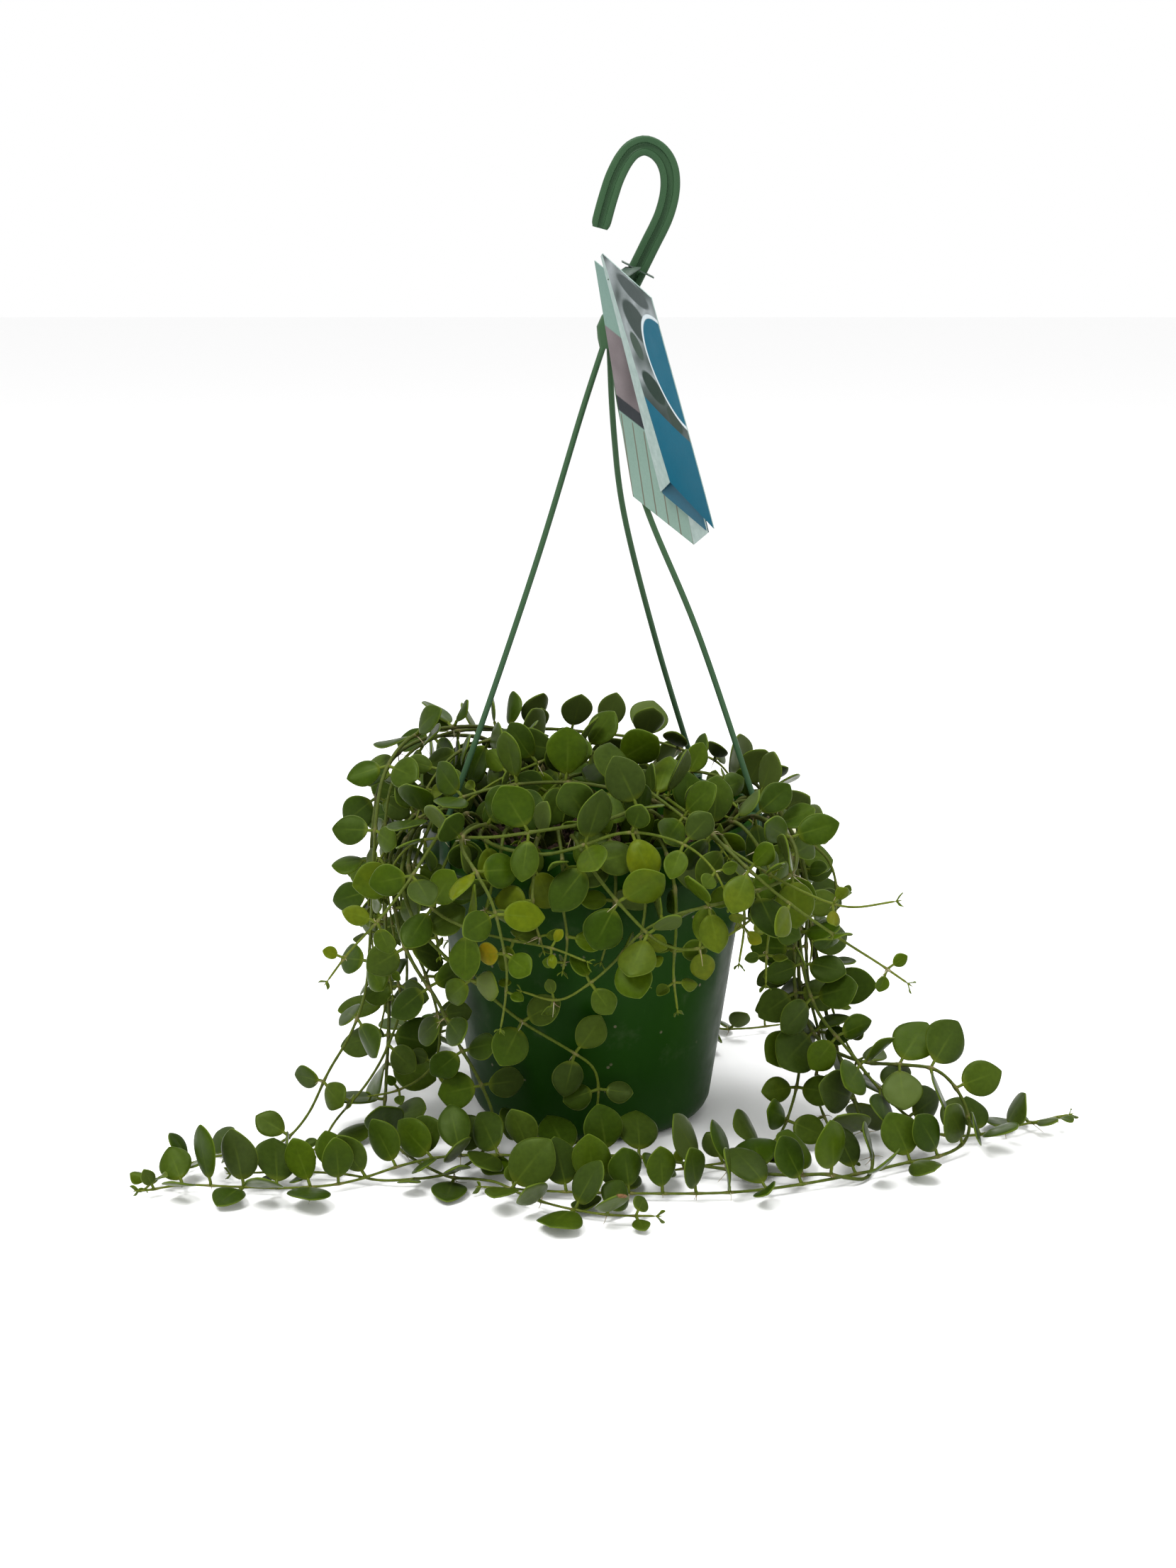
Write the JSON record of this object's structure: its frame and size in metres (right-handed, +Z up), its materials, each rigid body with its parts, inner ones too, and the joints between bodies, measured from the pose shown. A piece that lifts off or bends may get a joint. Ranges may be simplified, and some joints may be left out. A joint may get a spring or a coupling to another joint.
{
  "type": "potted trailing hoya",
  "caption": "Round-leaved trailing hoya in a dark green hanging pot with moulded hook hanger and folded care label; stems drape over the rim and along the surface.",
  "frame": {"origin": "centre of the pot's flat underside", "axes": "+Z up; +X to the right and +Y to the back as seen from the label's side"},
  "size_m": [0.4075, 0.2643, 0.4298],
  "materials": {
    "pot_plastic": "satin moulded plastic",
    "hanger_plastic": "satin moulded plastic",
    "potting_mix": "matt crumbly peat and coir",
    "label_card": "coated printed card",
    "leaf_and_stem": "waxy satin leaf",
    "petal": "waxy petal"
  },
  "bodies": {
    "root": {"flower": "petal", "hanger": "hanger_plastic", "label": "label_card", "pot": "pot_plastic", "potting_mix": "potting_mix", "vine_back_centre_drop": "leaf_and_stem", "vine_back_floor_left": "leaf_and_stem", "vine_back_left_drop": "leaf_and_stem", "vine_back_right_drop": "leaf_and_stem", "vine_back_right_swag": "leaf_and_stem", "vine_back_swag": "leaf_and_stem", "vine_cross_long": "leaf_and_stem", "vine_crown_arch_back": "leaf_and_stem", "vine_crown_back_left": "leaf_and_stem", "vine_crown_back_right": "leaf_and_stem", "vine_crown_centre": "leaf_and_stem", "vine_crown_front": "leaf_and_stem", "vine_crown_left": "leaf_and_stem", "vine_crown_right": "leaf_and_stem", "vine_floor_front_short": "leaf_and_stem", "vine_floor_front_sweep": "leaf_and_stem", "vine_floor_left": "leaf_and_stem", "vine_floor_right_sweep": "leaf_and_stem", "vine_fringe_centre": "leaf_and_stem", "vine_fringe_centre_left": "leaf_and_stem", "vine_fringe_centre_right": "leaf_and_stem", "vine_fringe_left": "leaf_and_stem", "vine_fringe_right": "leaf_and_stem", "vine_front_left_drop": "leaf_and_stem", "vine_front_loop": "leaf_and_stem", "vine_front_swag": "leaf_and_stem", "vine_left_back_drop": "leaf_and_stem", "vine_left_curl": "leaf_and_stem", "vine_left_drop": "leaf_and_stem", "vine_left_runner": "leaf_and_stem", "vine_left_swag": "leaf_and_stem", "vine_left_tumble": "leaf_and_stem", "vine_pot_front": "leaf_and_stem", "vine_right_drop": "leaf_and_stem", "vine_right_front_drop": "leaf_and_stem", "vine_right_outer_drop": "leaf_and_stem", "vine_right_reach": "leaf_and_stem", "vine_right_runner": "leaf_and_stem", "vine_right_shoulder": "leaf_and_stem", "vine_right_tumble": "leaf_and_stem", "vine_shoulder_inner": "leaf_and_stem", "vine_shoulder_left": "leaf_and_stem", "vine_shoulder_outer": "leaf_and_stem", "vine_swag_lower": "leaf_and_stem", "vine_swag_middle": "leaf_and_stem", "vine_swag_upper": "leaf_and_stem", "vine_fringe_inner_left": "leaf_and_stem", "vine_fringe_inner_right": "leaf_and_stem", "vine_fringe_mid_left": "leaf_and_stem", "vine_fringe_far_right": "leaf_and_stem", "vine_fringe_far_left": "leaf_and_stem", "vine_crown_mound": "leaf_and_stem", "vine_crown_front_right": "leaf_and_stem"}
  },
  "joints": []
}
